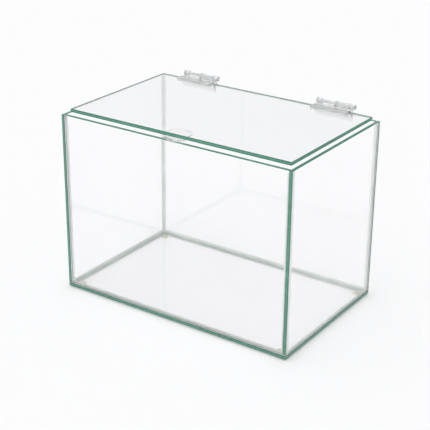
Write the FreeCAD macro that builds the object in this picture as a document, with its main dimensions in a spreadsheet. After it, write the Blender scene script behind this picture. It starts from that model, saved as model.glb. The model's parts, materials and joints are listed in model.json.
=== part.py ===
import FreeCAD, Part
import os
import re
import Sketcher

# A small glass tank for a pet: five panes bonded with silicone, and a glass lid on two clip hinges.
# X runs to the tank's right, Y to its back and Z up. The origin is on the surface that the feet
# stand on, at the middle of the whole object's outline, hinge barrels included.

SIZES = {
    "tank_width": (300, "outside width over the side panes"),
    "tank_depth": (188, "outside depth over the front and back panes"),
    "tank_height": (213, "underside of the base pane to the top of the walls"),
    "wall_glass": (4, "thickness of the base and the walls"),
    "lid_glass": (4, "thickness of the lid"),
    "arris": (0.4, "chamfer ground on every edge of a pane"),
    "bond_gap": (0.5, "silicone between two bonded panes"),
    "bead_leg": (3.5, "reach of a silicone bead along each pane"),
    "bead_curve": (1.35, "centre of a bead's hollow, as a share of its leg"),
    "bead_drop": (0.8, "a corner bead stops this far below the wall tops"),
    "lid_lift": (1.8, "gap between the wall tops and the lid's underside"),
    "lid_front_inset": (8.3, "tank front to the lid's front edge"),
    "lid_side_inset": (6.4, "tank side to the lid's side edge"),
    "hinge_spacing": (185.4, "between the middles of the two hinges"),
    "clip_length": (47, "length of a hinge clip along the pin"),
    "clip_wall": (1.2, "thickness of a clip's plates"),
    "clip_clearance": (0.4, "between the lid clip and the wall clip"),
    "clip_rounding": (0.3, "rounding on a clip's long outer edges"),
    "lid_grip": (9.7, "reach of a lid clip over the lid"),
    "outer_grip": (9.5, "reach of a wall clip down the outside of the back wall"),
    "inner_grip": (6, "reach of a wall clip down the inside of the back wall"),
    "knuckle_diameter": (6, "outside of a hinge knuckle"),
    "sleeve_diameter": (4.2, "outside of the thin sleeve between two wall knuckles"),
    "pin_diameter": (2.4, "hinge pin"),
    "bore_clearance": (0.05, "radial clearance round the pin"),
    "barrel_length": (49, "all the knuckles of a hinge together"),
    "end_knuckle": (7, "length of each outer wall knuckle"),
    "middle_knuckle": (2.4, "length of the middle wall knuckle"),
    "knuckle_gap": (0.3, "between a lid knuckle and its neighbours"),
    "plate_gap": (0.6, "between a lid clip's plate and the wall knuckles' arms"),
    "pin_head_diameter": (3.6, "head on each end of a pin"),
    "pin_head_length": (0.7, "height of a pin's head"),
    "foot_diameter": (8, "bumper foot where it is stuck on"),
    "foot_tread": (5.2, "flat end of a bumper foot"),
    "foot_height": (1.2, "height of a bumper foot"),
    "foot_inset": (12.5, "tank side to the middle of a foot"),
    "tab_diameter": (30, "disc under the front edge of the lid"),
    "tab_setback": (0.3, "tank front to the disc's rim"),
    "tab_rounding": (0.4, "rounding on the disc's rim"),
}

# Lengths that follow from the sizes above, as formulas of them.
DERIVED = {
    "knuckle_radius": "knuckle_diameter / 2",
    "front_y": "-(tank_depth + knuckle_diameter) / 2",
    "back_y": "front_y + tank_depth",
    "inner_width": "tank_width - 2 * wall_glass",
    "inner_depth": "tank_depth - 2 * wall_glass",
    "base_top": "foot_height + wall_glass",
    "wall_top": "foot_height + tank_height",
    "lid_under": "wall_top + lid_lift",
    "pin_y": "back_y + knuckle_radius",
    "pin_z": "lid_under + lid_glass + knuckle_radius",
    # The rest are places in a hinge's own frame, which has its origin on the pin's axis.
    "wall_outer": "-knuckle_radius",
    "wall_inner": "wall_outer - wall_glass",
    "wall_ledge": "-(knuckle_radius + lid_glass + lid_lift)",
    "flange_inner": "wall_inner - clip_wall",
    "web_back": "flange_inner - clip_clearance",
    "lid_edge": "web_back - clip_wall",
    "lid_upper": "-knuckle_radius",
    "lid_lower": "lid_upper - lid_glass",
    "barrel_end": "barrel_length / 2",
    "knuckle_start": "barrel_end - end_knuckle",
}

doc = FreeCAD.newDocument("GlassTank")
sheet = doc.addObject("Spreadsheet::Sheet", "Sizes")
ALIASES = re.compile(r"\b(" + "|".join([*SIZES, *DERIVED]) + r")\b")


def formula(text):
    """The same formula with every size read from the sheet."""
    return ALIASES.sub(r"Sizes.\1", str(text))


def fill_sheet():
    row = 1
    for alias, (value, meaning) in SIZES.items():
        sheet.set(f"A{row}", str(value))
        sheet.setAlias(f"A{row}", alias)
        sheet.set(f"B{row}", meaning)
        row += 1
    for alias, text in DERIVED.items():
        sheet.set(f"A{row}", "=" + re.sub(r"Sizes\.", "", formula(text)))
        sheet.setAlias(f"A{row}", alias)
        row += 1
    doc.recompute()


def value(text):
    """The number that a formula of the sizes gives."""
    return float(sheet.evalExpression(formula(text)))


def bind(thing, path, text):
    thing.setExpression(path, formula(text))


def place(thing, x=0, y=0, z=0, rotation=None):
    """Puts a sub-part at a place given as formulas, turned by a fixed rotation."""
    thing.Placement = FreeCAD.Placement(FreeCAD.Vector(), rotation or FreeCAD.Rotation())
    for axis, text in (("x", x), ("y", y), ("z", z)):
        bind(thing, f"Placement.Base.{axis}", text)


def new_body(label):
    body = doc.addObject("PartDesign::Body", "Body")
    body.Label = label
    return body


def new_sketch(body, role, offset=0):
    """A sketch on one of the body's own origin planes, moved along the plane's normal."""
    sketch = body.newObject("Sketcher::SketchObject", "Sketch")
    plane = next(f for f in body.Origin.OriginFeatures if f.Role == role)
    sketch.AttachmentSupport = [(plane, "")]
    sketch.MapMode = "FlatFace"
    bind(sketch, "AttachmentOffset.Base.z", offset)
    return sketch


def fix_vertex(sketch, edge, end, x, y):
    for kind, text in (("DistanceX", x), ("DistanceY", y)):
        number = sketch.addConstraint(Sketcher.Constraint(kind, -1, 1, edge, end, value(text)))
        bind(sketch, f"Constraints[{number}]", text)


def arc_between(start, stop, centre):
    """The short arc from start to stop about a centre, with its sense."""
    radius = (start - centre).Length
    middle = centre + ((start + stop) / 2 - centre).normalize() * radius
    arc = Part.Arc(start, middle, stop)
    counter_clockwise = (start - centre).cross(stop - centre).z > 0
    return arc, counter_clockwise


def draw_outline(sketch, corners, arcs=None):
    """A closed outline through corners given as formulas. arcs maps an edge to its arc's centre."""
    arcs = arcs or {}
    points = [FreeCAD.Vector(value(x), value(y), 0) for x, y in corners]
    count = len(corners)
    ends = []
    for i in range(count):
        start, stop = points[i], points[(i + 1) % count]
        if i in arcs:
            centre = FreeCAD.Vector(value(arcs[i][0]), value(arcs[i][1]), 0)
            arc, forwards = arc_between(start, stop, centre)
            sketch.addGeometry(arc, False)
            ends.append((1, 2) if forwards else (2, 1))
            number = sketch.addConstraint(Sketcher.Constraint("DistanceX", -1, 1, i, 3, centre.x))
            bind(sketch, f"Constraints[{number}]", arcs[i][0])
        else:
            sketch.addGeometry(Part.LineSegment(start, stop), False)
            ends.append((1, 2))
    for i in range(count):
        after = (i + 1) % count
        sketch.addConstraint(Sketcher.Constraint("Coincident", i, ends[i][1], after, ends[after][0]))
        fix_vertex(sketch, i, ends[i][0], *corners[i])


def draw_circle(sketch, radius, x=0, y=0):
    centre = FreeCAD.Vector(value(x), value(y), 0)
    edge = sketch.addGeometry(Part.Circle(centre, FreeCAD.Vector(0, 0, 1), value(radius)), False)
    fix_vertex(sketch, edge, 3, x, y)
    number = sketch.addConstraint(Sketcher.Constraint("Radius", edge, value(radius)))
    bind(sketch, f"Constraints[{number}]", radius)


def pad(body, sketch, length):
    feature = body.newObject("PartDesign::Pad", "Pad")
    feature.Profile = sketch
    bind(feature, "Length", length)
    sketch.Visibility = False
    return feature


def pocket_through(body, sketch):
    feature = body.newObject("PartDesign::Pocket", "Bore")
    feature.Profile = sketch
    feature.Type = "ThroughAll"
    feature.Midplane = True
    return feature


def revolve(body, sketch, role):
    feature = body.newObject("PartDesign::Revolution", "Revolution")
    feature.Profile = sketch
    feature.ReferenceAxis = (next(f for f in body.Origin.OriginFeatures if f.Role == role), [""])
    feature.Angle = 360
    return feature


# Glass panes


def make_pane(label, width, depth, height, x=0, y=0, z=0):
    """A cut pane with ground arrises. x and y are its middle, z its underside."""
    body = new_body(label)
    sketch = new_sketch(body, "XY_Plane")
    side, end = f"({width}) / 2", f"({depth}) / 2"
    corners = [(f"-{side}", f"-{end}"), (side, f"-{end}"), (side, end), (f"-{side}", end)]
    draw_outline(sketch, corners)
    block = pad(body, sketch, height)
    doc.recompute()
    ground = body.newObject("PartDesign::Chamfer", "Arris")
    ground.Base = (block, [""])
    ground.UseAllEdges = True
    bind(ground, "Size", "arris")
    place(body, x, y, z)
    return body


def make_panes():
    wall_height = "tank_height - wall_glass - bond_gap"
    wall_base = "base_top + bond_gap"
    middle_y = "front_y + tank_depth / 2"
    side_x = "(tank_width - wall_glass) / 2"
    end_width = "inner_width - 2 * bond_gap"
    lid_depth = "pin_y + lid_edge - front_y - lid_front_inset"
    lid_middle = f"front_y + lid_front_inset + ({lid_depth}) / 2"
    return [
        make_pane("base_panel", "tank_width", "tank_depth", "wall_glass", 0, middle_y, "foot_height"),
        make_pane("left_panel", "wall_glass", "tank_depth", wall_height,
                  f"-{side_x}", middle_y, wall_base),
        make_pane("right_panel", "wall_glass", "tank_depth", wall_height,
                  side_x, middle_y, wall_base),
        make_pane("front_panel", end_width, "wall_glass", wall_height,
                  0, "front_y + wall_glass / 2", wall_base),
        make_pane("back_panel", end_width, "wall_glass", wall_height,
                  0, "back_y - wall_glass / 2", wall_base),
        make_pane("lid_panel", "tank_width - 2 * lid_side_inset", lid_depth, "lid_glass",
                  0, lid_middle, "lid_under"),
    ]


# Silicone beads. A bead's section has its origin in the inside corner of the two panes. Its bonding
# strip lies between the panes, along the section's -Y, and its hollow face looks into the tank.


def make_bead(label, length, strip_extension=0):
    """A bead extruded along its own Z. A strip extension carries the bonding strip past both ends."""
    body = new_body(label)
    sketch = new_sketch(body, "XY_Plane")
    strip_end = "arris - wall_glass"
    corners = [(0, strip_end), ("bond_gap", strip_end), ("bond_gap", 0), ("bead_leg", 0), (0, "bead_leg")]
    hollow = {3: ("bead_leg * bead_curve", "bead_leg * bead_curve")}
    draw_outline(sketch, corners, hollow)
    pad(body, sketch, length)
    if strip_extension:
        strip = new_sketch(body, "XY_Plane", f"-({strip_extension})")
        draw_outline(strip, [(0, strip_end), ("bond_gap", strip_end), ("bond_gap", 0), (0, 0)])
        pad(body, strip, f"{length} + 2 * ({strip_extension})")
    return body


def cut(label, base, tool):
    feature = doc.addObject("Part::Cut", "Cut")
    feature.Label = label
    feature.Base = base
    feature.Tool = tool
    return feature


def make_base_beads():
    """Front and back beads run the full inside width. The side beads butt against them."""
    upright = FreeCAD.Rotation(FreeCAD.Vector(0, 1, 0), -90)
    turn = lambda angle: FreeCAD.Rotation(FreeCAD.Vector(0, 0, 1), angle) * upright
    side_x, end_y = "inner_width / 2", "inner_depth / 2"
    middle_y = "front_y + tank_depth / 2"
    front = make_bead("seam_base_front", "inner_width")
    place(front, side_x, f"{middle_y} - {end_y}", "base_top", turn(0))
    back = make_bead("seam_base_back", "inner_width")
    place(back, f"-{side_x}", f"{middle_y} + {end_y}", "base_top", turn(180))
    both = doc.addObject("Part::Compound", "EndBeads")
    both.Links = [front, back]
    sides = []
    for name, sign, angle in (("left", -1, -90), ("right", 1, 90)):
        blank = make_bead(f"seam_base_{name}_blank", "inner_depth", "wall_glass - arris")
        place(blank, f"{sign} * {side_x}", f"{middle_y} + {sign} * {end_y}", "base_top", turn(angle))
        sides.append(cut(f"seam_base_{name}", blank, both))
    return [front, back, *sides]


def make_corner_beads(base_beads):
    """The four upright beads, cut where they land on the beads along the base."""
    landing = doc.addObject("Part::Compound", "BaseBeads")
    landing.Links = base_beads
    height = "wall_top - bead_drop - base_top"
    turns = {
        "front_left": (-1, -1, FreeCAD.Rotation()),
        "front_right": (1, -1, FreeCAD.Rotation(FreeCAD.Vector(0, 1, 0), 180)),
        "back_left": (-1, 1, FreeCAD.Rotation(FreeCAD.Vector(1, 0, 0), 180)),
        "back_right": (1, 1, FreeCAD.Rotation(FreeCAD.Vector(0, 0, 1), 180)),
    }
    beads = []
    for name, (side, end, rotation) in turns.items():
        blank = make_bead(f"seam_{name}_blank", height)
        upside_down = side * end < 0
        foot = f"base_top + {height}" if upside_down else "base_top"
        middle_y = "front_y + tank_depth / 2"
        place(blank, f"{side} * inner_width / 2", f"{middle_y} + {end} * inner_depth / 2", foot, rotation)
        beads.append(cut(f"seam_{name}", blank, landing))
    return beads


# Hinges. Each is drawn in its own frame: origin on the pin's axis, X along the pin.


def add_section(body, start, length, corners):
    sketch = new_sketch(body, "YZ_Plane", start)
    draw_outline(sketch, corners)
    return pad(body, sketch, length)


def add_round(body, start, length, radius):
    sketch = new_sketch(body, "YZ_Plane", start)
    draw_circle(sketch, radius)
    return pad(body, sketch, length)


def bore_out(body):
    sketch = new_sketch(body, "YZ_Plane")
    draw_circle(sketch, "pin_diameter / 2 + bore_clearance")
    return pocket_through(body, sketch)


def long_edges(shape, places):
    """Names of the straight edges along X through the given places in the YZ plane."""
    names = []
    for number, edge in enumerate(shape.Edges, 1):
        ends = [vertex.Point for vertex in edge.Vertexes]
        if len(ends) != 2 or abs((ends[1] - ends[0]).x) < value("clip_length") * 0.99:
            continue
        if any(abs(ends[0].y - y) + abs(ends[0].z - z) < 1e-4 for y, z in places):
            names.append(f"Edge{number}")
    return names


def round_edges(body, feature, places):
    doc.recompute()
    rounding = body.newObject("PartDesign::Fillet", "Rounding")
    rounding.Base = (feature, long_edges(feature.Shape, [(value(y), value(z)) for y, z in places]))
    bind(rounding, "Radius", "clip_rounding")


def make_wall_clip(label, side):
    """A channel over the back wall, with arms up to two end knuckles and a middle one."""
    body = new_body(label)
    half = "clip_length / 2"
    outer, web_top = "wall_outer + clip_wall", "wall_ledge + clip_wall"
    outer_foot, inner_foot = "wall_ledge - outer_grip", "wall_ledge - inner_grip"
    channel = add_section(body, f"-{half}", "clip_length", [
        ("flange_inner", inner_foot), ("wall_inner", inner_foot), ("wall_inner", "wall_ledge"),
        ("wall_outer", "wall_ledge"), ("wall_outer", outer_foot), (outer, outer_foot),
        (outer, web_top), ("flange_inner", web_top),
    ])
    round_edges(body, channel, [("flange_inner", inner_foot), ("flange_inner", web_top), (outer, outer_foot)])
    arm = [("wall_outer", web_top), (outer, web_top), (outer, 0), ("wall_outer", 0)]
    arm_length = "clip_length / 2 - knuckle_start"
    middle_start = "-middle_knuckle / 2"
    add_section(body, f"-{half}", arm_length, arm)
    add_section(body, "knuckle_start", arm_length, arm)
    add_section(body, middle_start, "middle_knuckle", arm)
    add_round(body, "-barrel_end", "end_knuckle", "knuckle_radius")
    add_round(body, "knuckle_start", "end_knuckle", "knuckle_radius")
    add_round(body, middle_start, "middle_knuckle", "knuckle_radius")
    add_round(body, "-knuckle_start", "knuckle_start", "sleeve_diameter / 2")
    bore_out(body)
    place(body, f"{side} * hinge_spacing / 2", "pin_y", "pin_z")
    return body


def make_lid_clip(label, side):
    """A channel over the lid's back edge, with a plate back to one knuckle beside the middle."""
    body = new_body(label)
    half = "clip_length / 2"
    upper, lower = "lid_upper + clip_wall", "lid_lower - clip_wall"
    front = "lid_edge - lid_grip"
    plate_back = "wall_outer - plate_gap"
    channel = add_section(body, f"-{half}", "clip_length", [
        (front, lower), ("web_back", lower), ("web_back", "lid_upper"), (plate_back, "lid_upper"),
        (plate_back, upper), (front, upper), (front, "lid_upper"), ("lid_edge", "lid_upper"),
        ("lid_edge", "lid_lower"), (front, "lid_lower"),
    ])
    round_edges(body, channel, [(front, lower), ("web_back", lower), (front, upper), (plate_back, upper)])
    start = "middle_knuckle / 2 + knuckle_gap"
    length = f"knuckle_start - knuckle_gap - ({start})"
    add_section(body, start, length, [
        (f"{plate_back} - clip_wall", "lid_upper"), (0, "lid_upper"), (0, upper),
        (f"{plate_back} - clip_wall", upper),
    ])
    add_round(body, start, length, "knuckle_radius")
    bore_out(body)
    place(body, f"{side} * hinge_spacing / 2", "pin_y", "pin_z")
    return body


def make_pin(label, side):
    """A pin with a low coned head on each end."""
    body = new_body(label)
    sketch = new_sketch(body, "XY_Plane")
    tip = "barrel_end + pin_head_length"
    shaft, head, crown = "pin_diameter / 2", "pin_head_diameter / 2", "pin_diameter / 2"
    draw_outline(sketch, [
        (f"-({tip})", 0), (tip, 0), (tip, crown), ("barrel_end", head), ("barrel_end", shaft),
        ("-barrel_end", shaft), ("-barrel_end", head), (f"-({tip})", crown),
    ])
    revolve(body, sketch, "X_Axis")
    place(body, f"{side} * hinge_spacing / 2", "pin_y", "pin_z")
    return body


# Feet and lift tab


def make_foot(label, side, end):
    """A clear bumper, stuck under the base, with a bulged side and a flat tread."""
    body = new_body(label)
    sketch = new_sketch(body, "XZ_Plane")
    draw_outline(sketch, [
        (0, 0), ("foot_tread / 2", 0), ("foot_diameter / 2", "foot_height"), (0, "foot_height"),
    ], {1: ("foot_tread / 2 - 0.1 * foot_height", "foot_height")})
    revolve(body, sketch, "Z_Axis")
    place(body, f"{side} * (tank_width / 2 - foot_inset)",
          f"front_y + tank_depth / 2 + {end} * (tank_depth / 2 - foot_inset)", 0)
    return body


def make_lift_tab():
    """A clear disc under the middle of the lid's front edge. It rests on the front wall."""
    body = new_body("lid_lift_tab")
    sketch = new_sketch(body, "XY_Plane")
    draw_circle(sketch, "tab_diameter / 2")
    disc = pad(body, sketch, "lid_lift")
    doc.recompute()
    rim = body.newObject("PartDesign::Fillet", "Rim")
    rim.Base = (disc, [""])
    rim.UseAllEdges = True
    bind(rim, "Radius", "tab_rounding")
    place(body, 0, "front_y + tab_setback + tab_diameter / 2", "wall_top")
    return body


def check(parts):
    for thing in doc.Objects:
        if "Invalid" in thing.State or "Error" in thing.State:
            raise RuntimeError(f"{thing.Label} failed: {thing.State}")
    for part in parts:
        shape = part.Shape
        if shape.isNull() or not shape.isValid() or len(shape.Solids) != 1:
            raise RuntimeError(f"{part.Label} is not one valid solid")


fill_sheet()
base_beads = make_base_beads()
nodes = [*make_panes(), *base_beads, *make_corner_beads(base_beads), make_lift_tab()]
for side_name, side in (("left", -1), ("right", 1)):
    nodes.append(make_wall_clip(f"hinge_wall_clip_{side_name}", side))
    nodes.append(make_lid_clip(f"hinge_lid_clip_{side_name}", side))
    nodes.append(make_pin(f"hinge_pin_{side_name}", side))
    for end_name, end in (("front", -1), ("back", 1)):
        nodes.append(make_foot(f"foot_{end_name}_{side_name}", side, end))
doc.recompute()
check(nodes)

os.makedirs("parts", exist_ok=True)
for node in nodes:
    node.Shape.exportStep(f"parts/{node.Label}.step")
print(len(nodes), "parts written")
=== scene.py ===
import json
import math
import random
from contextlib import contextmanager
from itertools import product

import bmesh
import bpy
from mathutils import Matrix, Vector


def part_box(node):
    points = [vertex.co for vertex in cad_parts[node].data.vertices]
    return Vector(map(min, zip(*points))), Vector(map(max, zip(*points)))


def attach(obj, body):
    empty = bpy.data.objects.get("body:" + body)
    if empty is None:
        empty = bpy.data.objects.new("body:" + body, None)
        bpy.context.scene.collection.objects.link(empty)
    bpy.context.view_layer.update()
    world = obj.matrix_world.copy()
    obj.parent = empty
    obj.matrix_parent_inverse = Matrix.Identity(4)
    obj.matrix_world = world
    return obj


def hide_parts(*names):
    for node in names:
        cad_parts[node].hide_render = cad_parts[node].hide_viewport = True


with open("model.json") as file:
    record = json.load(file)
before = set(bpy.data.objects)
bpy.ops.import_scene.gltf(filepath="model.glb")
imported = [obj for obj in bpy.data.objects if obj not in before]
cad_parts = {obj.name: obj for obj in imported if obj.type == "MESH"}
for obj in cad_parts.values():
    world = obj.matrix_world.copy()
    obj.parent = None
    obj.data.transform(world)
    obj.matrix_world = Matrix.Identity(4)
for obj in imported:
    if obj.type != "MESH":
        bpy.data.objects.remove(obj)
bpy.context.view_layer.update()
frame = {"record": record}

# A small glass tank for a pet, with a hinged glass lid, on a white floor.
# Pieces are worked out from the boxes of the CAD nodes that they stand for. Lengths are in metres,
# with MM to write them in millimetres. The hinges, feet and lift tab are modelled in millimetres
# and scaled when they are put in place.

MM = 0.001
base_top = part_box("base_panel")[1].z

# The two ways along any axis, along x by side and along y by end.
SIGNS = (-1, 1)
SIDES = {"left": -1, "right": 1}
ENDS = {"front": -1, "back": 1}

# Panes: the edges of each one that silicone covers.
LEFT, RIGHT, DOWN, UP = (-1, 0, 0), (1, 0, 0), (0, 0, -1), (0, 0, 1)
BONDED = {
    "base_panel": [UP], "front_panel": [LEFT, RIGHT, DOWN], "back_panel": [LEFT, RIGHT, DOWN],
    "left_panel": [DOWN], "right_panel": [DOWN], "lid_panel": [],
}

# An arris is the narrow strip ground along each edge of a pane. It wavers by a share of its width, in
# waves counted in radians a metre. Where it isn't bonded, small chips are scattered along it, clear of
# its ends by a share of its length.
ARRIS = 0.35 * MM
ARRIS_WAVER = 0.06
ARRIS_WAVES = (60, 140)
ARRIS_OVERTONE = 3.7
ARRIS_PHASE_APART = 1.7
ARRIS_STEP = 5 * MM
CLOSEST_STATIONS = 0.02 * MM
CHIP_SPACING = 50 * MM
CHIP_HALF_LENGTHS = (0.2 * MM, 0.6 * MM)
CHIP_DEPTH = 0.25 * MM
CHIP_FREE_END = 0.04
CHIP_SINK = 0.3
DEEP_CHIP = 0.4 * MM

# How far a normal leans along the thin axis on a flat face, and towards silicone on a bonded one.
FLAT_NORMAL = 0.9
BONDED_NORMAL = 0.3

# One arris is badly chipped: the axis along it, the side it is on for each of the next two axes, and
# the stretch of chips: its start, its stop, the spacing and the greatest depth.
CHIPPED_ARRIS = {"right_panel": (2, -1, -1)}
CHIPPED_STRETCH = (2 * MM, 55 * MM, 1.5 * MM, 1.5 * MM)

# Silicone beads. SKIN is the gap that keeps them off the glass, HOLLOW is the power in the curve of a
# bead's free face, and the waves are in radians a metre.
BEAD_LEG = 3.5 * MM
BEAD_STEP = 4 * MM
LEG_WANDER = 0.012
LEG_WAVES = (31, 97)
QUICK_PHASE = 2.3
LEG_FADE = 8 * MM
HOLLOW = 1.5
HOLLOW_STEPS = 8
SKIN = 0.02 * MM
ROUND_TOP = 2.5 * MM
TOP_LEG = 0.55
STRIP_STEP = 6 * MM
DRAW_IN = 0.12 * MM
DRAW_IN_WAVES = (43, 157)
BUBBLE_SPACING = 150 * MM
BUBBLE_RADII = (0.06 * MM, 0.14 * MM)
BUBBLE_DEPTHS = (0.15 * MM, 0.45 * MM)
BUBBLE_FREE_END = 4 * MM

# Hinges, feet and lift tab, in plain millimetres. CONTACT keeps moulded plastic off the glass, and
# HAIR keeps two faces from lying in one plane.
CONTACT = 0.03
HAIR = 0.02
CLIP_WALL = 1.2
CLIP_ROUNDING = 0.3
INNER_ROUNDING = 0.15
ARM_ROUNDING = 0.2
END_KNUCKLE_ROUNDING = 0.35
LID_KNUCKLE_ROUNDING = 0.3
FINE_ROUNDING = 0.1
ROUNDING_STEPS = 3
INNER_GRIP = 6.0
PLATE_GAP = 0.6
END_KNUCKLE = 7.0
MIDDLE_KNUCKLE = 2.4
KNUCKLE_GAP = 0.3
KNUCKLE_STEP = 0.4
ARM_OVERLAP = 0.4
SLEEVE_OVERLAP = 0.5
SLEEVE_RADIUS = 2.1
BORE_RADIUS = 1.25
PIN_RADIUS = 1.2
PIN_TIP_TAPER = 0.25
PIN_HEAD = 0.25
PIN_HEAD_RADIUS = 1.8
PIN_HEAD_TAPER = 0.05
PIN_BEVEL = 0.08
WELD_DISTANCE = 0.002
UPRIGHT = Matrix.Rotation(-math.pi / 2, 4, "Y")

# Studio: the sky's colour at a few heights, from the horizon to straight up, and the side from which
# it is a little brighter.
FLOOR_REACH = 30
SKY = (
    (0.0, (0.83, 0.83, 0.83)), (0.12, (0.9, 0.9, 0.9)), (0.3, (0.72, 0.73, 0.74)),
    (0.6, (0.6, 0.6, 0.62)), (0.85, (1, 1, 1)),
)
SKY_STRENGTH = 1.195
KEY_SIDE = (-0.6, -0.75, 0.28)
KEY_GAIN = 0.3

# Camera: its place, its angles in degrees, and its lens and sensor in millimetres.
CAMERA_PLACE = (0.6727, -1.0007, 0.6200)
CAMERA_ROUND, CAMERA_DOWN, CAMERA_ROLL = 34.209, 23.512, 0.556
CAMERA_LENS = 95.4921
CAMERA_SENSOR = 36
FARTHEST_SEEN = 200


def body_of(node):
    """The body that a CAD node rides on."""
    bodies = frame["record"]["behaviour"]["bodies"]
    return next(body for body, members in bodies.items() if node in members)


# Shader nodes


def new_material(name):
    material = bpy.data.materials.new(name)
    material.use_nodes = True
    return material, material.node_tree, material.node_tree.nodes["Principled BSDF"]


def link(tree, source, target):
    tree.links.new(source, target)


def connect(tree, value, socket):
    """Links a socket, or sets a plain number on it."""
    if isinstance(value, bpy.types.NodeSocket):
        link(tree, value, socket)
    else:
        socket.default_value = value


def set_plain(shader, **values):
    """Plain values on a shader's own sockets, with _ for each space in a socket's name."""
    for name, value in values.items():
        shader.inputs[name.replace("_", " ")].default_value = value


def attribute(tree, name):
    node = tree.nodes.new("ShaderNodeAttribute")
    node.attribute_name = name
    return node.outputs["Fac"]


def cloud(tree, feature, detail=4):
    """Noise whose features are about the given size in millimetres."""
    coordinates = tree.nodes.new("ShaderNodeTexCoord")
    node = tree.nodes.new("ShaderNodeTexNoise")
    node.inputs["Scale"].default_value = 1 / (feature * MM)
    node.inputs["Detail"].default_value = detail
    node.inputs["Roughness"].default_value = 0.55
    link(tree, coordinates.outputs["Object"], node.inputs["Vector"])
    return node.outputs["Fac"]


def ramp(tree, source, *stops):
    """A colour ramp through (place, (r, g, b)) stops."""
    node = tree.nodes.new("ShaderNodeValToRGB")
    elements = node.color_ramp.elements
    while len(elements) < len(stops):
        elements.new(0.5)
    for element, (place, colour) in zip(elements, stops):
        element.position = place
        element.color = (*colour, 1)
    link(tree, source, node.inputs["Fac"])
    return node.outputs["Color"]


def mottled(tree, noise, first, second):
    """A colour that drifts between two others as the noise does."""
    return ramp(tree, noise, (0.3, first), (0.7, second))


def spread(tree, source, low, high, start=0.3, stop=0.7):
    """The source's start..stop turned into low..high."""
    node = tree.nodes.new("ShaderNodeMapRange")
    for name, value in (("From Min", start), ("From Max", stop), ("To Min", low), ("To Max", high)):
        node.inputs[name].default_value = value
    link(tree, source, node.inputs["Value"])
    return node.outputs["Result"]


def blend_colours(tree, share, first, second):
    node = tree.nodes.new("ShaderNodeMix")
    node.data_type = "RGBA"
    link(tree, share, node.inputs["Factor"])
    link(tree, first, node.inputs["A"])
    link(tree, second, node.inputs["B"])
    return next(output for output in node.outputs if output.type == "RGBA")


def blend_values(tree, share, first, second):
    node = tree.nodes.new("ShaderNodeMix")
    link(tree, share, node.inputs["Factor"])
    connect(tree, first, node.inputs["A"])
    connect(tree, second, node.inputs["B"])
    return node.outputs["Result"]


def calculate(tree, operation, *values):
    node = tree.nodes.new("ShaderNodeMath")
    node.operation = operation
    for value, socket in zip(values, node.inputs):
        connect(tree, value, socket)
    return node.outputs["Value"]


def bump(tree, height, depth):
    """Relief whose height runs over the given depth in millimetres."""
    node = tree.nodes.new("ShaderNodeBump")
    node.inputs["Distance"].default_value = depth * MM
    link(tree, height, node.inputs["Height"])
    return node.outputs["Normal"]


def add_absorption(tree, colour, density):
    """Light lost inside the piece, per metre, for each colour."""
    node = tree.nodes.new("ShaderNodeVolumeAbsorption")
    node.inputs["Color"].default_value = (*colour, 1)
    node.inputs["Density"].default_value = density
    link(tree, node.outputs["Volume"], tree.nodes["Material Output"].inputs["Volume"])


# Materials


def glass_colour(tree):
    """A faint film on the faces, green on the ground edges, and pale where silicone wets them. The green
    carries painted light and shade: lighter along the middle of each edge, painted shade towards both
    faces, on the arrises and deepest in the chips.
    """
    film = ramp(tree, cloud(tree, 60), (0.35, (0.994, 0.991, 0.994)), (0.7, (1.0, 0.998, 1.0)))
    streaks = cloud(tree, 9, detail=6)
    off_middle = calculate(tree, "ABSOLUTE", attribute(tree, "across"))
    depth = calculate(tree, "ADD", off_middle, spread(tree, streaks, -0.12, 0.12))
    # Painted light and shade across each ground edge: a lighter green along its middle, darkening
    # towards both faces.
    edge = ramp(
        tree, depth,
        (0.0, (0.18, 0.50, 0.36)), (0.45, (0.10, 0.36, 0.24)), (0.95, (0.03, 0.15, 0.10)),
    )
    # Painted shade: the arrises are painted a darker green, and the chips darker still, nearly black, as
    # shade in their hollows.
    rim = mottled(tree, streaks, (0.08, 0.25, 0.18), (0.16, 0.38, 0.28))
    painted_chip_shade = mottled(tree, streaks, (0.01, 0.05, 0.035), (0.03, 0.12, 0.08))
    wetted = mottled(tree, streaks, (0.90, 0.89, 0.88), (0.97, 0.95, 0.94))
    rim = blend_colours(tree, attribute(tree, "chip"), rim, painted_chip_shade)
    edge = blend_colours(tree, attribute(tree, "arris"), edge, rim)
    edge = blend_colours(tree, attribute(tree, "bonded"), edge, wetted)
    return blend_colours(tree, attribute(tree, "ground"), film, edge)


def float_glass():
    """Clear faces, and edges that are frosted unless silicone wets them."""
    material, tree, shader = new_material("float_glass")
    set_plain(shader, IOR=1.52)
    ground, bonded = attribute(tree, "ground"), attribute(tree, "bonded")
    link(tree, glass_colour(tree), shader.inputs["Base Color"])
    edge_roughness = blend_values(tree, bonded, spread(tree, cloud(tree, 1.5), 0.15, 0.3), 0.06)
    link(tree, blend_values(tree, ground, 0.0, edge_roughness), shader.inputs["Roughness"])
    edge_transmission = blend_values(tree, bonded, 0.35, 0.85)
    link(tree, blend_values(tree, ground, 1.0, edge_transmission), shader.inputs["Transmission Weight"])
    add_absorption(tree, (0.25, 0.60, 0.45), 1.2)
    return material


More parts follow.
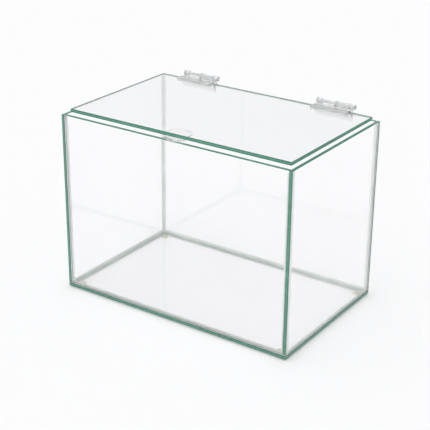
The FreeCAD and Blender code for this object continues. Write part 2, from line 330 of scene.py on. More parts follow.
def clear_silicone():
    """Milky rubber, with darker, greener painted shade where it faces up beside the green edges of the
    base.
    """
    material, tree, shader = new_material("clear_silicone")
    set_plain(shader, IOR=1.41, Transmission_Weight=0.55, Roughness=0.3)
    upright = mottled(tree, cloud(tree, 25), (0.83, 0.85, 0.84), (0.90, 0.915, 0.905))
    # Painted shade, tinted green: the darker colour given where the bead faces up.
    flat = mottled(tree, cloud(tree, 25), (0.55, 0.63, 0.565), (0.66, 0.73, 0.67))
    axes = tree.nodes.new("ShaderNodeSeparateXYZ")
    link(tree, tree.nodes.new("ShaderNodeNewGeometry").outputs["Normal"], axes.inputs["Vector"])
    facing_up = spread(tree, calculate(tree, "ABSOLUTE", axes.outputs["Z"]), 0, 1, 0.62, 0.78)
    link(tree, blend_colours(tree, facing_up, upright, flat), shader.inputs["Base Color"])
    return material


def clear_plastic():
    """Glossy moulded plastic, with a slight waviness."""
    material, tree, shader = new_material("clear_plastic")
    set_plain(shader, IOR=1.5, Transmission_Weight=0.92)
    tint = mottled(tree, cloud(tree, 7), (0.86, 0.875, 0.87), (0.94, 0.95, 0.945))
    link(tree, tint, shader.inputs["Base Color"])
    link(tree, spread(tree, cloud(tree, 2), 0.0, 0.04), shader.inputs["Roughness"])
    link(tree, bump(tree, cloud(tree, 6, detail=1), 0.01), shader.inputs["Normal"])
    return material


def pin_plastic():
    """Duller plastic, scuffed by the bores."""
    material, tree, shader = new_material("pin_plastic")
    set_plain(shader, IOR=1.5, Transmission_Weight=0.7)
    tint = mottled(tree, cloud(tree, 4), (0.82, 0.83, 0.84), (0.93, 0.93, 0.94))
    link(tree, tint, shader.inputs["Base Color"])
    link(tree, spread(tree, cloud(tree, 1), 0.12, 0.3), shader.inputs["Roughness"])
    return material


def bumper_gel():
    """Soft clear gel, slightly yellow."""
    material, tree, shader = new_material("bumper_gel")
    set_plain(shader, IOR=1.48, Transmission_Weight=0.75)
    tint = mottled(tree, cloud(tree, 3), (0.80, 0.79, 0.62), (0.88, 0.88, 0.74))
    link(tree, tint, shader.inputs["Base Color"])
    link(tree, spread(tree, cloud(tree, 1), 0.1, 0.3), shader.inputs["Roughness"])
    return material


def tab_plastic():
    """The clearest plastic, which shows as a faint outline under the glass."""
    material, tree, shader = new_material("tab_plastic")
    set_plain(shader, IOR=1.42, Transmission_Weight=0.97)
    tint = mottled(tree, cloud(tree, 5), (0.96, 0.97, 0.965), (0.995, 0.995, 0.995))
    link(tree, tint, shader.inputs["Base Color"])
    link(tree, spread(tree, cloud(tree, 2), 0.02, 0.08), shader.inputs["Roughness"])
    return material


def floor_paint():
    """Matt near-white paint."""
    material, tree, shader = new_material("floor_paint")
    set_plain(shader, Base_Color=(0.94, 0.94, 0.94, 1), Roughness=1.0, Specular_IOR_Level=0.0)
    return material


materials = {
    "glass": float_glass(),
    "silicone": clear_silicone(),
    "clear_plastic": clear_plastic(),
    "pin_plastic": pin_plastic(),
    "bumper": bumper_gel(),
    "tab_plastic": tab_plastic(),
    "floor": floor_paint(),
}


# Mesh helpers


@contextmanager
def editing(mesh):
    """The mesh opened for editing, and written back afterwards."""
    work = bmesh.new()
    work.from_mesh(mesh)
    yield work
    work.to_mesh(mesh)
    work.free()


def new_piece(name, verts, faces, material):
    mesh = bpy.data.meshes.new(name)
    mesh.from_pydata(verts, [], faces)
    mesh.materials.append(material)
    piece = bpy.data.objects.new(name, mesh)
    bpy.context.scene.collection.objects.link(piece)
    with editing(mesh) as work:
        bmesh.ops.recalc_face_normals(work, faces=work.faces[:])
    return piece


def keep_evaluated(piece):
    """Makes what the modifiers show the piece's own mesh."""
    view = bpy.context.evaluated_depsgraph_get()
    shown = bpy.data.meshes.new_from_object(piece.evaluated_get(view))
    piece.modifiers.clear()
    piece.data = shown
    shown.name = piece.name


def smooth_over(piece, crease):
    """Smooth shading up to a crease angle in degrees, which large flat faces keep flat."""
    with editing(piece.data) as work:
        bmesh.ops.triangulate(work, faces=[face for face in work.faces if len(face.verts) > 4])
    piece.data.shade_smooth()
    piece.data.set_sharp_from_angle(angle=math.radians(crease))
    weigh = piece.modifiers.new("weigh", "WEIGHTED_NORMAL")
    weigh.keep_sharp = True
    keep_evaluated(piece)


def combine(base, tools, operation):
    """Joins or cuts a base with each tool, and cleans up what is left."""
    for tool in tools:
        step = base.modifiers.new(operation, "BOOLEAN")
        step.operation = operation
        step.solver = "EXACT"
        step.object = tool
        keep_evaluated(base)
        bpy.data.objects.remove(tool)
    with editing(base.data) as work:
        bmesh.ops.remove_doubles(work, verts=work.verts[:], dist=WELD_DISTANCE)
        bmesh.ops.dissolve_degenerate(work, edges=work.edges[:], dist=WELD_DISTANCE)
        bmesh.ops.recalc_face_normals(work, faces=work.faces[:])
    return base


def install(piece, node):
    """The piece stands for a CAD node and moves with that node's body."""
    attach(piece, body_of(node))
    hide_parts(node)


# Panes


def next_axes(axis):
    """The two axes that come after one, in turn."""
    return (axis + 1) % 3, (axis + 2) % 3


def nicks(rng, start, stop, spacing, depth):
    """Places, half lengths and depths of the small chips along part of an arris."""
    return [
        (rng.uniform(start, stop), rng.uniform(*CHIP_HALF_LENGTHS), rng.uniform(0.3, 1.0) * depth)
        for _ in range(round((stop - start) / spacing))
    ]


def arris_stations(chips, length):
    """Places along an arris: even ones, and closer ones across each chip."""
    count = round(length / ARRIS_STEP) if length > 2 * ARRIS_STEP else 0
    even = [length * k / count for k in range(1, count)]
    close = [place + half * share for place, half, _ in chips for share in (-1, -0.5, 0, 0.5, 1)]
    kept = []
    for place in sorted(even + close):
        apart = not kept or place - kept[-1] > CLOSEST_STATIONS
        if apart and ARRIS < place < length - ARRIS:
            kept.append(place)
    return kept


def arris_width(place, chips, wave, phase):
    """How wide the arris is at a place, and how much of that is a chip."""
    waver = math.sin(wave * place + phase) + 0.5 * math.sin(ARRIS_OVERTONE * wave * place)
    bite = 0
    for centre, half, depth in chips:
        away = abs(place - centre) / half
        if away < 1:
            bite = max(bite, depth * math.sqrt(1 - away * away))
    return ARRIS * (1 + ARRIS_WAVER * waver) + bite, bite


class PaneShape:
    """Six flat faces joined by twelve narrow, slightly uneven arrises.

    on_arris has 0 for each flat face and 1 for each small face on an arris or a corner, and in_chip
    says how deep in a chip a vertex is, up to 1."""

    def __init__(self, low, high, rng, bonded, chipped):
        self.low, self.high, self.rng = low, high, rng
        self.bonded, self.chipped = bonded, chipped
        self.verts, self.faces, self.on_arris, self.in_chip = [], [], [], {}
        self.corners, self.corner_middles, self.runs = {}, {}, {}
        for signs in product(SIGNS, repeat=3):
            self.add_corner(signs)
        for axis, b_sign, c_sign in product(range(3), SIGNS, SIGNS):
            self.add_arris(axis, b_sign, c_sign)
        for axis, sign in product(range(3), SIGNS):
            self.add_flat_face(axis, sign)
        for signs in product(SIGNS, repeat=3):
            self.add_corner_face(signs)

    def add(self, point):
        self.verts.append(tuple(point))
        return len(self.verts) - 1

    def add_face(self, indices, on_arris):
        self.faces.append(tuple(indices))
        self.on_arris.append(on_arris)

    def reach(self, axis, sign, inset=0.0):
        """A place on one side of the pane, or inset from there."""
        return self.high[axis] - inset if sign > 0 else self.low[axis] + inset

    def add_corner(self, signs):
        """A vertex on each flat face that meets here, and one between each two of them."""
        for face_axis in range(3):
            point = [self.reach(k, signs[k], 0 if k == face_axis else ARRIS) for k in range(3)]
            self.corners[signs, face_axis] = self.add(point)
        for axis in range(3):
            first, second = (Vector(self.verts[self.corners[signs, k]]) for k in next_axes(axis))
            self.corner_middles[signs, axis] = self.add((first + second) / 2)

    def chips_on(self, axis, b_sign, c_sign):
        """Scattered chips where silicone doesn't cover an arris, and the bad ones on the chipped one."""
        b, c = next_axes(axis)
        length = self.high[axis] - self.low[axis]
        is_bonded = any(way[b] == b_sign or way[c] == c_sign for way in self.bonded)
        chips = []
        if length > CHIP_SPACING and not is_bonded:
            ends = CHIP_FREE_END * length, (1 - CHIP_FREE_END) * length
            chips = nicks(self.rng, *ends, CHIP_SPACING, CHIP_DEPTH)
        if self.chipped == (axis, b_sign, c_sign):
            chips += nicks(self.rng, *CHIPPED_STRETCH)
        return chips

    def across_arris(self, place, axis, b_sign, c_sign, widths, bite):
        """Three points across an arris: on the face across b, midway, and on the face across c."""
        b, c = next_axes(axis)
        on_b, on_c = Vector(), Vector()
        on_b[axis] = on_c[axis] = self.low[axis] + place
        on_b[b], on_b[c] = self.reach(b, b_sign), self.reach(c, c_sign, widths[0])
        on_c[b], on_c[c] = self.reach(b, b_sign, widths[1]), self.reach(c, c_sign)
        middle = (on_b + on_c) / 2
        middle[b] -= b_sign * CHIP_SINK * bite
        middle[c] -= c_sign * CHIP_SINK * bite
        return on_b, middle, on_c

    def add_arris(self, axis, b_sign, c_sign):
        """The strip between the face across b and the face across c, with a row along its middle."""
        b, c = next_axes(axis)
        chips = self.chips_on(axis, b_sign, c_sign)
        wave, phase = self.rng.uniform(*ARRIS_WAVES), self.rng.uniform(0, math.tau)
        rows = [], [], []
        for place in arris_stations(chips, self.high[axis] - self.low[axis]):
            width_b, bite = arris_width(place, chips, wave, phase)
            width_c, _ = arris_width(place, chips, wave, phase + ARRIS_PHASE_APART)
            points = self.across_arris(place, axis, b_sign, c_sign, (width_b, width_c), bite)
            for row, point in zip(rows, points):
                row.append(self.add(point))
                self.in_chip[row[-1]] = min(1, bite / DEEP_CHIP)
        ends = []
        for sign in SIGNS:
            side = {axis: sign, b: b_sign, c: c_sign}
            ends.append(tuple(side[k] for k in range(3)))
        start, stop = ends
        row_b = [self.corners[start, b], *rows[0], self.corners[stop, b]]
        row_middle = [self.corner_middles[start, axis], *rows[1], self.corner_middles[stop, axis]]
        row_c = [self.corners[start, c], *rows[2], self.corners[stop, c]]
        self.runs[b, b_sign, axis, c_sign] = row_b
        self.runs[c, c_sign, axis, b_sign] = row_c
        for first, second in ((row_b, row_middle), (row_middle, row_c)):
            for k in range(len(first) - 1):
                self.add_face((first[k], first[k + 1], second[k + 1], second[k]), 1)

    def add_flat_face(self, axis, sign):
        """A face of the pane, outlined by the four runs of vertices round it."""
        b, c = next_axes(axis)
        round_it = (
            self.runs[axis, sign, b, -1], self.runs[axis, sign, c, 1],
            self.runs[axis, sign, b, 1][::-1], self.runs[axis, sign, c, -1][::-1],
        )
        self.add_face([index for run in round_it for index in run[:-1]], 0)

    def add_corner_face(self, signs):
        """The small face where three arrises meet."""
        outline = []
        for axis in range(3):
            outline += [self.corners[signs, axis], self.corner_middles[signs, (axis + 2) % 3]]
        self.add_face(outline, 1)


def mark(mesh, name, domain, values):
    """Keeps a number for each face or vertex, which the glass reads by name."""
    data = mesh.attributes.new(name, "FLOAT", domain).data
    data.foreach_set("value", [float(value) for value in values])


def add_pane(node, seed):
    """A pane, with each face marked where it is ground, where it is an arris and where it is bonded."""
    low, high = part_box(node)
    size, middle = high - low, (low + high) / 2
    thin = min(range(3), key=lambda k: size[k])
    shape = PaneShape(low, high, random.Random(seed), BONDED[node], CHIPPED_ARRIS.get(node))
    pane = new_piece(node.replace("panel", "glass"), shape.verts, shape.faces, materials["glass"])
    mesh = pane.data
    wetted = [Vector(way) for way in BONDED[node]]
    on_edge = [abs(face.normal[thin]) < FLAT_NORMAL for face in mesh.polygons]
    bonded = [any(face.normal.dot(way) > BONDED_NORMAL for way in wetted) for face in mesh.polygons]
    across = [2 * (vertex.co[thin] - middle[thin]) / size[thin] for vertex in mesh.vertices]
    mark(mesh, "ground", "FACE", (arris or edge for arris, edge in zip(shape.on_arris, on_edge)))
    mark(mesh, "arris", "FACE", shape.on_arris)
    mark(mesh, "bonded", "FACE", bonded)
    mark(mesh, "across", "POINT", across)
    mark(mesh, "chip", "POINT", (shape.in_chip.get(k, 0) for k in range(len(mesh.vertices))))
    install(pane, node)


# Silicone beads


def hollow_curve():
    """Shares of a bead's leg along its hollow free face, from one pane to the other."""
    shares = [k / HOLLOW_STEPS for k in range(HOLLOW_STEPS + 1)]
    return [(share ** (1 / HOLLOW), (1 - share) ** (1 / HOLLOW)) for share in shares]


def even_places(start, stop, step):
    """Even places from start to stop, about a step apart."""
    count = round((stop - start) / step)
    return [start + (stop - start) * k / count for k in range(count + 1)]


class Shell:
    """Vertices and faces of one closed skin, placed by an origin and three axes."""

    def __init__(self, origin, axes):
        self.origin, self.axes = Vector(origin), [Vector(axis) for axis in axes]
        self.verts, self.faces = [], []

    def place(self, u, v, w):
        return self.origin + u * self.axes[0] + v * self.axes[1] + w * self.axes[2]

    def add(self, u, v, w):
        self.verts.append(tuple(self.place(u, v, w)))
        return len(self.verts) - 1

    def bands(self, rings):
        """Faces from each ring of vertices to the next."""
        for first, second in zip(rings, rings[1:]):
            for k in range(len(first)):
                self.faces.append((first[k - 1], first[k], second[k], second[k - 1]))


def tooled_leg(place, start, stop, phase):
    """A bead's leg where a finger has smoothed it: it wanders, and is true at both ends."""
    fade = min(1, (place - start) / LEG_FADE, (stop - place) / LEG_FADE)
    slow, quick = LEG_WAVES
    wander = math.sin(slow * place + phase) + 0.5 * math.sin(quick * place + QUICK_PHASE * phase)
    return BEAD_LEG * (1 + LEG_WANDER * fade * wander)


def rounded_top_leg(leg, place, stop):
    """A bead's leg where its upper end is rounded off."""
    left = min(1, max(0, stop - place) / ROUND_TOP)
    return leg * (TOP_LEG + (1 - TOP_LEG) * math.sqrt(1 - (1 - left) ** 2))


def add_fillet(shell, start, stop, rng, is_upright):
    """The hollow fillet between two panes.

    An upright one ends in the corner of three panes below and is rounded off above."""
    phases = [rng.uniform(0, math.tau) for _ in range(2)]
    rings = []
    for place in even_places(start, stop, BEAD_STEP):
        legs = [tooled_leg(place, start, stop, phase) for phase in phases]
        if is_upright:
            legs = [rounded_top_leg(leg, place, stop) for leg in legs]
        curve = [
            shell.add(SKIN + legs[0] * (1 - a), SKIN + legs[1] * (1 - b), place)
            for a, b in hollow_curve()
        ]
        rings.append([shell.add(SKIN, SKIN, place), *curve[::-1]])
    shell.bands(rings)
    shell.faces.append(tuple(rings[-1]))
    if is_upright:
        add_three_way(shell, rings[0])
    else:
        shell.faces.append(tuple(rings[0]))


def add_three_way(shell, ring):
    """Closes a fillet's lower end with the hollow corner where three panes meet."""
    n = HOLLOW_STEPS
    grid = {(i, n - i): ring[1 + n - i] for i in range(n + 1)}
    for i in range(n + 1):
        for j in range(n - i):
            shares = [(part / n) ** (1 / HOLLOW) for part in (i, j, n - i - j)]
            grid[i, j] = shell.add(*(SKIN + BEAD_LEG * (1 - share) for share in shares))
    for i in range(n):
        for j in range(n - i):
            shell.faces.append((grid[i, j], grid[i + 1, j], grid[i, j + 1]))
            if i + j < n - 1:
                shell.faces.append((grid[i + 1, j], grid[i + 1, j + 1], grid[i, j + 1]))
    heel = ring[0]
    root = shell.add(SKIN, SKIN, SKIN)
    along_u = shell.add(SKIN + BEAD_LEG, SKIN, SKIN)
    along_v = shell.add(SKIN, SKIN + BEAD_LEG, SKIN)
    shell.faces += [
        (root, along_v, grid[n, 0], heel),
        (root, along_u, grid[0, n], heel),
        (root, along_u, grid[0, 0], along_v),
        (along_u, *(grid[0, j] for j in range(n + 1))),
        (along_v, *(grid[i, 0] for i in range(n + 1))),
    ]


def add_strip(shell, start, stop, gap, reach, rng):
    """The thin silicone in the joint between two panes, drawn in a little along its outer edge."""
    phase = rng.uniform(0, math.tau)
    slow, quick = DRAW_IN_WAVES
    rings = []
    for place in even_places(start, stop, STRIP_STEP):
        draw_in = DRAW_IN * (1 + math.sin(slow * place + phase) / 3 + math.sin(quick * place) / 6)
        ring = [shell.add(gap - SKIN, -SKIN, place), shell.add(SKIN, -SKIN, place)]
        for share in (0, 0.25, 0.5, 0.75, 1):
            hollow = draw_in * (1 + math.sin(math.pi * share))
            ring.append(shell.add(SKIN + share * (gap - 2 * SKIN), hollow - reach, place))
        rings.append(ring)
    shell.bands(rings)
    shell.faces += [tuple(rings[0]), tuple(rings[-1])]


def add_bubbles(piece, shell, start, stop, rng):
    """Small air bubbles shut in the fillet: inner skins that face the air inside them."""
    with editing(piece.data) as work:
        for _ in range(round((stop - start) / BUBBLE_SPACING)):
            radius = rng.uniform(*BUBBLE_RADII)
            u, v = (SKIN + radius + rng.uniform(*BUBBLE_DEPTHS) for _ in range(2))
            w = rng.uniform(start + BUBBLE_FREE_END, stop - BUBBLE_FREE_END)
            centre = Matrix.Translation(shell.place(u, v, w))
            made = bmesh.ops.create_icosphere(work, subdivisions=2, radius=radius, matrix=centre)
            skin = {face for vertex in made["verts"] for face in vertex.link_faces}
            bmesh.ops.reverse_faces(work, faces=list(skin))


def add_seam(node, origin, axes, fillet, strip, gap, reach, is_upright=False):
    """A bead between two panes: its fillet over the inside corner and its strip between the panes.

    Both are stretches along the third axis. The strip fills a gap, and reaches back through it."""
    rng = random.Random(node)
    shell = Shell(origin, axes)
    add_fillet(shell, *fillet, rng, is_upright)
    add_strip(shell, *strip, gap, reach, rng)
    name = node.replace("seam", "silicone")
    piece = new_piece(name, shell.verts, shell.faces, materials["silicone"])
    add_bubbles(piece, shell, *fillet, rng)
    smooth_over(piece, crease=40)
    install(piece, node)


def add_corner_seams():
    for side, across in SIDES.items():
        for end, deep in ENDS.items():
            node = f"seam_{end}_{side}"
            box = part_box(node)
            side_box, end_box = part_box(f"{side}_panel"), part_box(f"{end}_panel")
            x = side_box[across < 0].x
            y = end_box[deep < 0].y
            height = box[1].z - base_top
            add_seam(
                node, (x, y, base_top), ((-across, 0, 0), (0, -deep, 0), (0, 0, 1)),
                fillet=(SKIN + BEAD_LEG, height), strip=(box[0].z + SKIN - base_top, height),
                gap=abs(x - end_box[across > 0].x), reach=abs(box[deep > 0].y - y), is_upright=True,
            )


def add_base_seams():
    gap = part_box("front_panel")[0].z - base_top
    clear = BEAD_LEG + 2 * SKIN
    left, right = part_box("left_panel")[1].x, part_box("right_panel")[0].x
    front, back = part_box("front_panel")[1].y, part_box("back_panel")[0].y
    for end, deep in ENDS.items():
        node = f"seam_base_{end}"
        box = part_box(node)
        y = back if deep > 0 else front
        add_seam(
            node, (0, y, base_top), ((0, 0, 1), (0, -deep, 0), (1, 0, 0)),
            fillet=(left + clear, right - clear), strip=(left + SKIN, right - SKIN),
            gap=gap, reach=abs(box[deep > 0].y - y),
        )
    for side, across in SIDES.items():
        node = f"seam_base_{side}"
        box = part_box(node)
        x = right if across > 0 else left
        add_seam(
            node, (x, 0, base_top), ((0, 0, 1), (-across, 0, 0), (0, 1, 0)),
            fillet=(front + clear, back - clear), strip=(box[0].y, box[1].y),
            gap=gap, reach=abs(box[across > 0].x - x),
        )


# Moulded and turned plastic, in millimetres


def arc(radius, start, stop, steps):
    """Points at even angles along an arc, with the outward direction at each."""
    angles = [start + (stop - start) * k / steps for k in range(steps + 1)]
    ways = [(math.cos(angle), math.sin(angle)) for angle in angles]
    return [(Vector((radius * x, radius * y)), Vector((x, y))) for x, y in ways]


def circle(radius, steps=48):
    return arc(radius, 0, math.tau, steps)[:-1]


def rounded_outline(corners, radius):
    """Points round a closed outline whose corners are arcs, with the outward direction at each.

    Each corner is (x, y) or (x, y, its own radius)."""
    count = len(corners)
    spots = [Vector(corner[:2]) for corner in corners]
    area = sum(spots[k - 1].x * spots[k].y - spots[k].x * spots[k - 1].y for k in range(count))
    outline = []
    for k, corner in enumerate(corners):
        here, before, after = spots[k], spots[k - 1], spots[(k + 1) % count]
        into, out = (here - before).normalized(), (after - here).normalized()
        turn = into.x * out.y - into.y * out.x
        own = corner[2] if len(corner) > 2 else radius
        half = math.atan2(abs(turn), into.dot(out)) / 2
        cut = own * math.tan(half)
        centre = here - into * cut + Vector((-into.y, into.x)) * math.copysign(own, turn)
        for step in range(ROUNDING_STEPS + 1):
            angle = math.copysign(2 * half * step / ROUNDING_STEPS, turn)
            normal = Matrix.Rotation(angle, 2) @ Vector((into.y, -into.x))
            point = centre + normal * math.copysign(own, turn)
            outline.append((point, normal * math.copysign(1, area)))
    return outline


def moulded(name, outline, start, stop, rounding):
    """An outline in the YZ plane carried from start to stop along X, its end edges rounded."""
    sections = []
    for k in range(ROUNDING_STEPS + 1):
        angle = math.pi / 2 * (1 - k / ROUNDING_STEPS)
        inset = rounding * (1 - math.cos(angle))
        sections.append((start + rounding * (1 - math.sin(angle)), inset))
    sections += [(start + stop - x, inset) for x, inset in sections[::-1]]
    verts, faces = [], []
    for x, inset in sections:
        verts += [(x, *(point - normal * inset)) for point, normal in outline]
    count = len(outline)
    for ring in range(len(sections) - 1):
        for k in range(count):
            a, b = ring * count + k, ring * count + (k + 1) % count
            faces.append((a, b, b + count, a + count))
    faces.append(tuple(range(count)))
    faces.append(tuple(range(len(verts) - count, len(verts))))
    return new_piece(name, verts, faces, materials["clear_plastic"])


def turned(name, profile, material, steps):
    """A profile of (place along, radius) points turned about X. Its ends lie on the axis."""
    verts = [(profile[0][0], 0, 0)]
    for along, radius in profile[1:-1]:
        verts += [(along, *point) for point, _ in circle(radius, steps)]
    verts.append((profile[-1][0], 0, 0))
    rings = range(1, len(verts) - 1, steps)
    faces = []
    for k in range(steps):
        after = (k + 1) % steps
        faces.append((0, rings[0] + k, rings[0] + after))
        faces.append((len(verts) - 1, rings[-1] + k, rings[-1] + after))
        for first, second in zip(rings, rings[1:]):
            faces.append((first + k, first + after, second + after, second + k))
    return new_piece(name, verts, faces, material)


def settle(piece, place, turn=Matrix.Identity(4)):
    """Turns a piece modelled in millimetres into metres at its place."""
    piece.data.transform(Matrix.Translation(place) @ turn @ Matrix.Scale(MM, 4))


# Hinges, modelled about the pin's axis


class HingeSizes:
    """Places in the hinge's own frame, in millimetres, from the boxes of its nodes."""

    def __init__(self):
        pin, wall, lid = (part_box(f"hinge_{part}_right") for part in ("pin", "wall_clip", "lid_clip"))
        back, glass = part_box("back_panel"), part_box("lid_panel")
        self.axis = (pin[0] + pin[1]) / 2

        def y(place):
            return (place - self.axis.y) / MM

        def z(place):
            return (place - self.axis.z) / MM

        self.half = (lid[1].x - lid[0].x) / 2 / MM
        self.barrel = (wall[1].x - wall[0].x) / 2 / MM
        self.pin_tip = (pin[1].x - pin[0].x) / 2 / MM
        self.knuckle = y(wall[1].y)
        self.wall_outer, self.wall_inner = y(back[1].y) + CONTACT, y(back[0].y) - CONTACT
        self.ledge = z(back[1].z) + CONTACT
        self.flange_inner, self.outer_foot = y(wall[0].y), z(wall[0].z)
        self.lid_upper, self.lid_lower = z(glass[1].z) + CONTACT, z(glass[0].z) - CONTACT
        self.lid_edge = y(glass[1].y) + CONTACT
        self.lid_front, self.lid_bottom = y(lid[0].y), z(lid[0].z)


def arm_outline(h, foot):
    """A barrel section whose arm stands on the channel: its inner face touches the barrel."""
    outer = h.wall_outer + CLIP_WALL
    stop = math.atan2(-math.sqrt(h.knuckle ** 2 - outer ** 2), outer)
    heel = [(Vector((outer, foot)), Vector((1, 0))), (Vector((h.wall_outer, foot)), Vector((-1, 0)))]
    return arc(h.knuckle, math.pi, stop, steps=40) + heel


def bore(h):
    """The hole for the pin, longer than any knuckle."""
    return moulded("bore", circle(BORE_RADIUS, steps=40), -2 * h.barrel, 2 * h.barrel, FINE_ROUNDING)


def wall_clip(name, h):
    """A channel over the back wall, with three knuckles on arms and a sleeve between two of them."""
    outer, web_top = h.wall_outer + CLIP_WALL, h.ledge + CLIP_WALL
    inner_foot = h.ledge - INNER_GRIP
    channel = rounded_outline([
        (h.flange_inner, inner_foot), (h.wall_inner, inner_foot),
        (h.wall_inner, h.ledge, INNER_ROUNDING), (h.wall_outer, h.ledge, INNER_ROUNDING),
        (h.wall_outer, h.outer_foot), (outer, h.outer_foot),
        (outer, web_top, INNER_ROUNDING), (h.flange_inner, web_top),
    ], CLIP_ROUNDING)
    clip = moulded(name, channel, -h.half, h.half, CLIP_ROUNDING)
    inner_end = h.barrel - END_KNUCKLE
    arm = arm_outline(h, web_top - ARM_OVERLAP)
    arms = [(-h.half, -inner_end), (inner_end, h.half), (-MIDDLE_KNUCKLE / 2, MIDDLE_KNUCKLE / 2)]
    tools = [moulded("arm", arm, start, stop, ARM_ROUNDING) for start, stop in arms]
    knuckle, sleeve = circle(h.knuckle - HAIR), circle(SLEEVE_RADIUS)
    tools += [
        moulded("knuckle", knuckle, -h.barrel, -inner_end - KNUCKLE_STEP, END_KNUCKLE_ROUNDING),
        moulded("knuckle", knuckle, inner_end + KNUCKLE_STEP, h.barrel, END_KNUCKLE_ROUNDING),
        moulded("sleeve", sleeve, -inner_end - SLEEVE_OVERLAP, 0, FINE_ROUNDING),
    ]
    combine(clip, tools, "UNION")
    return combine(clip, [bore(h)], "DIFFERENCE")


def lid_clip(name, h):
    """A channel round the lid's back edge, with a plate above that ends in a knuckle."""
    upper, lower = h.lid_upper + CLIP_WALL, h.lid_bottom
    web_back = h.lid_edge + CLIP_WALL
    plate_back = h.wall_outer - PLATE_GAP
    channel = rounded_outline([
        (h.lid_front, lower), (web_back, lower),
        (web_back, h.lid_upper, INNER_ROUNDING), (plate_back, h.lid_upper),
        (plate_back, upper), (h.lid_front, upper),
        (h.lid_front, h.lid_upper), (h.lid_edge, h.lid_upper, INNER_ROUNDING),
        (h.lid_edge, h.lid_lower, INNER_ROUNDING), (h.lid_front, h.lid_lower),
    ], CLIP_ROUNDING)
    clip = moulded(name, channel, -h.half, h.half, CLIP_ROUNDING)
    plate_front = plate_back - 2 * CLIP_WALL
    plate = rounded_outline([
        (plate_front, h.lid_upper), (0, h.lid_upper + HAIR), (0, upper), (plate_front, upper),
    ], FINE_ROUNDING)
    start = MIDDLE_KNUCKLE / 2 + KNUCKLE_GAP
    stop = h.barrel - END_KNUCKLE - KNUCKLE_GAP
    tools = [
        moulded("plate", plate, start, stop, ARM_ROUNDING),
        moulded("knuckle", circle(h.knuckle), start, stop, LID_KNUCKLE_ROUNDING),
    ]
    combine(clip, tools, "UNION")
    return combine(clip, [bore(h)], "DIFFERENCE")


def hinge_pin(name, h):
    """A pin with a low tapered head at each end, outside the knuckles."""
    head, tip = h.barrel, h.pin_tip
    half = [
        (tip, 0), (tip, PIN_RADIUS - PIN_TIP_TAPER), (tip - PIN_BEVEL, PIN_RADIUS),
        (head + PIN_HEAD, PIN_HEAD_RADIUS - PIN_HEAD_TAPER), (head + PIN_BEVEL, PIN_HEAD_RADIUS),
        (head, PIN_HEAD_RADIUS - PIN_BEVEL), (head, PIN_RADIUS),
    ]
    profile = half + [(-along, radius) for along, radius in half[::-1]]
    return turned(name, profile, materials["pin_plastic"], steps=40)


def add_hinges():
    sizes = HingeSizes()
    kinds = {"wall_clip": wall_clip, "lid_clip": lid_clip, "pin": hinge_pin}
    for part, build in kinds.items():
        for side in SIDES:
            node = f"hinge_{part}_{side}"
            low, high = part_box(node)
            piece = build(f"moulded_{node}", sizes)
            smooth_over(piece, crease=38)
            settle(piece, (((low + high) / 2).x, sizes.axis.y, sizes.axis.z))
            install(piece, node)


# Feet and lift tab, turned about X and then stood up


def foot_profile(height, radius):
    """A tread with a shallow dish in it, a domed side, and a thin flange under the base."""
    tread = 0.65 * radius
    dish, lip, flange = 0.06, 0.02, 0.1
    dome_height, dome_width = height - flange - 2 * lip, radius - 0.05 - tread
    dome = [
        (lip + dome_height * (1 - way.x), tread + dome_width * way.y)
        for _, way in arc(1, 0, math.pi / 2, steps=6)[1:]
    ]
    return [
        (dish, 0), (dish, 0.5 * tread), (0, 0.8 * tread), (lip, tread), *dome,
        (height - flange, radius), (height - lip, radius), (height - lip, 0),
    ]


def tab_profile(height, radius):
    """A disc with a shallow recess underneath and rounded edges."""
    recess, slope, rim, top = 0.25, 0.4, 0.4, height - HAIR
    shoulder = radius - 2.0
    edges = [
        (centre - point.x, radius - rim + point.y)
        for centre, start in ((rim, 0), (top - rim, math.pi / 2))
        for point, _ in arc(rim, start, start + math.pi / 2, steps=5)
    ]
    return [
        (recess, 0), (recess, shoulder - 3 * slope), (0.8 * recess, shoulder - 2 * slope),
        (0.2 * recess, shoulder - slope), (0, shoulder), *edges, (top, 0),
    ]


def add_turned(node, name, profile_for, slot, steps, crease, raised=0.0):
    """Turns a profile to fit a node's box, raised off the box's lower face if asked."""
    low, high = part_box(node)
    middle = (low + high) / 2
    height, radius = (high.z - low.z) / MM - raised, (high.x - low.x) / 2 / MM
    piece = turned(name, profile_for(height, radius), materials[slot], steps)
    smooth_over(piece, crease)
    settle(piece, (middle.x, middle.y, low.z + raised * MM), UPRIGHT)
    install(piece, node)


def add_feet():
    for side, end in product(SIDES, ENDS):
        node = f"foot_{end}_{side}"
        add_turned(node, f"bumper_{node}", foot_profile, "bumper", steps=64, crease=40)


def add_lift_tab():
    add_turned(
        "lid_lift_tab", "moulded_lid_lift_tab", tab_profile, "tab_plastic",
        steps=96, crease=35, raised=CONTACT,
    )


# Studio


def add_floor():
    corners = [(x * FLOOR_REACH, y * FLOOR_REACH, 0) for x, y in ((-1, -1), (1, -1), (1, 1), (-1, 1))]
    floor = new_piece("floor", corners, [(0, 1, 2, 3)], materials["floor"])


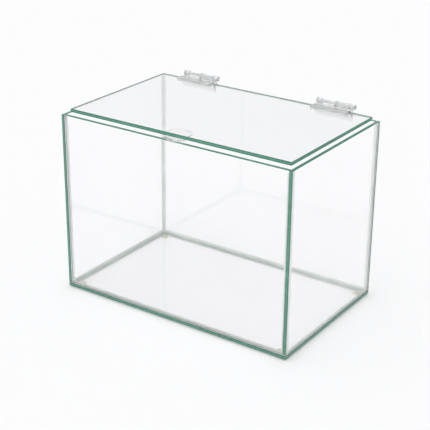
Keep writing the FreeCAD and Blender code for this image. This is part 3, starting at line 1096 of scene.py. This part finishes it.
def add_world():
    """A soft white studio all round, dimmer half way up and a little brighter on the key side."""
    world = bpy.data.worlds.new("studio")
    bpy.context.scene.world = world
    world.use_nodes = True
    tree = world.node_tree
    coordinates = tree.nodes.new("ShaderNodeTexCoord")
    axes = tree.nodes.new("ShaderNodeSeparateXYZ")
    link(tree, coordinates.outputs["Generated"], axes.inputs["Vector"])
    link(tree, ramp(tree, axes.outputs["Z"], *SKY), tree.nodes["Background"].inputs["Color"])
    lean = tree.nodes.new("ShaderNodeVectorMath")
    lean.operation = "DOT_PRODUCT"
    lean.inputs[1].default_value = KEY_SIDE
    link(tree, coordinates.outputs["Generated"], lean.inputs[0])
    rise = spread(tree, axes.outputs["Z"], 0, 1, 0.1, 0.3)
    key = calculate(tree, "MULTIPLY", calculate(tree, "MULTIPLY", lean.outputs["Value"], KEY_GAIN), rise)
    strength = calculate(tree, "MULTIPLY", calculate(tree, "ADD", key, 1.0), SKY_STRENGTH)
    link(tree, strength, tree.nodes["Background"].inputs["Strength"])


def add_camera():
    """A camera on the front right, looking down a little."""
    angles = (CAMERA_ROUND, CAMERA_DOWN, CAMERA_ROLL)
    round_it, down, roll = (math.radians(angle) for angle in angles)
    level = Vector((-math.sin(round_it), math.cos(round_it), 0))
    ahead = math.cos(down) * level - Vector((0, 0, math.sin(down)))
    right = Vector((math.cos(round_it), math.sin(round_it), 0))
    up = right.cross(ahead)
    rolled_right = math.cos(roll) * right + math.sin(roll) * up
    rolled_up = -math.sin(roll) * right + math.cos(roll) * up
    turn = Matrix((rolled_right, rolled_up, -ahead)).transposed()
    data = bpy.data.cameras.new("camera")
    data.sensor_width = CAMERA_SENSOR
    data.lens = CAMERA_LENS
    data.clip_end = FARTHEST_SEEN
    camera = bpy.data.objects.new("camera", data)
    camera.matrix_world = Matrix.Translation(CAMERA_PLACE) @ turn.to_4x4()
    bpy.context.scene.collection.objects.link(camera)
    bpy.context.scene.camera = camera


# Build

for seed, node in enumerate(BONDED, start=1):
    add_pane(node, seed)
add_corner_seams()
add_base_seams()
add_hinges()
add_feet()
add_lift_tab()

add_floor()
add_world()
add_camera()

scene = bpy.context.scene
scene.view_settings.view_transform = "Standard"
scene.cycles.use_denoising = True
scene.cycles.max_bounces = 48
scene.cycles.transmission_bounces = 40
scene.cycles.glossy_bounces = 16
scene.cycles.diffuse_bounces = 6
scene.cycles.blur_glossy = 0.0
